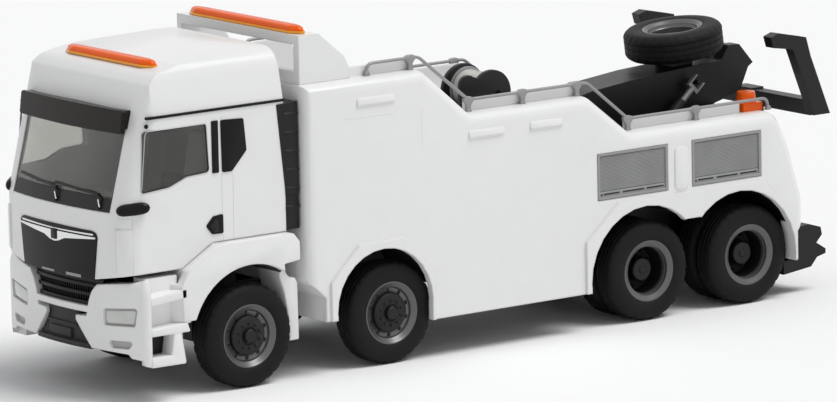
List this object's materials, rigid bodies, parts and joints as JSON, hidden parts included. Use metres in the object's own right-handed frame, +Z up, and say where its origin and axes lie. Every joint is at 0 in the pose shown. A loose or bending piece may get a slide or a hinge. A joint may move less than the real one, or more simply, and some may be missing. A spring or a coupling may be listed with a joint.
{
  "type": "recovery truck scale model",
  "caption": "Plastic scale model of a white eight-wheeled heavy recovery truck with light bars, winch, lifting boom, spare wheel and rear underlift.",
  "frame": {"origin": "on the ground under the middle of the overall box", "axes": "+X forward, +Y to the truck's left, +Z up"},
  "size_m": [0.1072, 0.0294, 0.0415],
  "materials": {
    "black_plastic": "satin",
    "grey_plastic": "matte",
    "lamp_lens": "gloss",
    "orange_lens": "gloss",
    "red_lens": "gloss",
    "silver_plastic": "satin",
    "smoked_glazing": "gloss",
    "tyre": "matte",
    "visor_plastic": "gloss",
    "white_plastic": "gloss"
  },
  "bodies": {
    "truck": {"air_stack": "black_plastic", "body_bridge": "white_plastic", "body_deck": "white_plastic", "body_sides": "white_plastic", "bumper_centre": "black_plastic", "cab_glazing": "smoked_glazing", "cab_interior": "grey_plastic", "cab_shell": "white_plastic", "cab_trim": "black_plastic", "chassis": "black_plastic", "deck_tray": "black_plastic", "front_bumper": "white_plastic", "grille": "black_plastic", "grille_trim": "silver_plastic", "headlamps": "lamp_lens", "light_bars": "orange_lens", "mudguards": "white_plastic", "rear_beacons": "orange_lens", "rear_beam": "black_plastic", "roller_shutters": "silver_plastic", "side_rails": "silver_plastic", "sun_visor": "visor_plastic", "tail_lamps": "red_lens", "winch_drum": "silver_plastic", "winch_frame": "black_plastic"},
    "wheelset_1": {"tyres_1": "tyre", "rims_1": "silver_plastic", "hubs_1": "black_plastic", "axle_1": "black_plastic"},
    "wheelset_2": {"tyres_2": "tyre", "rims_2": "silver_plastic", "hubs_2": "black_plastic", "axle_2": "black_plastic"},
    "wheelset_3": {"tyres_3": "tyre", "rims_3": "silver_plastic", "hubs_3": "black_plastic", "axle_3": "black_plastic"},
    "wheelset_4": {"tyres_4": "tyre", "rims_4": "silver_plastic", "hubs_4": "black_plastic", "axle_4": "black_plastic"},
    "boom": {"boom": "black_plastic", "boom_sheave": "black_plastic", "spare_tyre": "tyre", "spare_rim": "silver_plastic", "spare_carrier": "black_plastic"},
    "ram_barrels": {"ram_barrels": "black_plastic"},
    "ram_rods": {"ram_rods": "silver_plastic"},
    "stinger": {"underlift_stinger": "black_plastic"},
    "crossbar": {"underlift_crossbar": "black_plastic"}
  },
  "joints": [
    {"name": "wheel_spin_1", "type": "hinge", "parent": "truck", "child": "wheelset_1", "pos_m": [0.0348, 0, 0.00615], "axis": [0, 1, 0], "continuous": true},
    {"name": "wheel_spin_2", "type": "hinge", "parent": "truck", "child": "wheelset_2", "pos_m": [0.0142, 0, 0.00615], "axis": [0, 1, 0], "continuous": true},
    {"name": "wheel_spin_3", "type": "hinge", "parent": "truck", "child": "wheelset_3", "pos_m": [-0.0247, 0, 0.00615], "axis": [0, 1, 0], "continuous": true},
    {"name": "wheel_spin_4", "type": "hinge", "parent": "truck", "child": "wheelset_4", "pos_m": [-0.0404, 0, 0.00615], "axis": [0, 1, 0], "continuous": true},
    {"name": "boom_lift", "type": "hinge", "parent": "truck", "child": "boom", "pos_m": [-0.0187, 0, 0.0236], "axis": [0, 1, 0], "range_deg": [0, 30]},
    {"name": "ram_swing", "type": "hinge", "parent": "truck", "child": "ram_barrels", "pos_m": [-0.0307, 0, 0.0179], "axis": [0, 1, 0], "range_deg": [0, 33.62]},
    {"name": "ram_slide", "type": "slide", "parent": "ram_barrels", "child": "ram_rods", "axis": [-0.7359, 0, 0.6771], "range_m": [0, 0.00683]},
    {"name": "underlift_fold", "type": "hinge", "parent": "truck", "child": "stinger", "pos_m": [-0.0517, 0, 0.0054], "axis": [0, -1, 0], "range_deg": [0, 90]},
    {"name": "crossbar_tilt", "type": "hinge", "parent": "stinger", "child": "crossbar", "pos_m": [-0.0517, 0, 0.02315], "axis": [0, 1, 0], "range_deg": [-20, 20]}
  ],
  "couplings": [
    {"joint": "ram_swing", "follows": "boom_lift", "ratio": 1.1175},
    {"joint": "ram_slide", "follows": "boom_lift", "m_per_rad": 0.013}
  ]
}
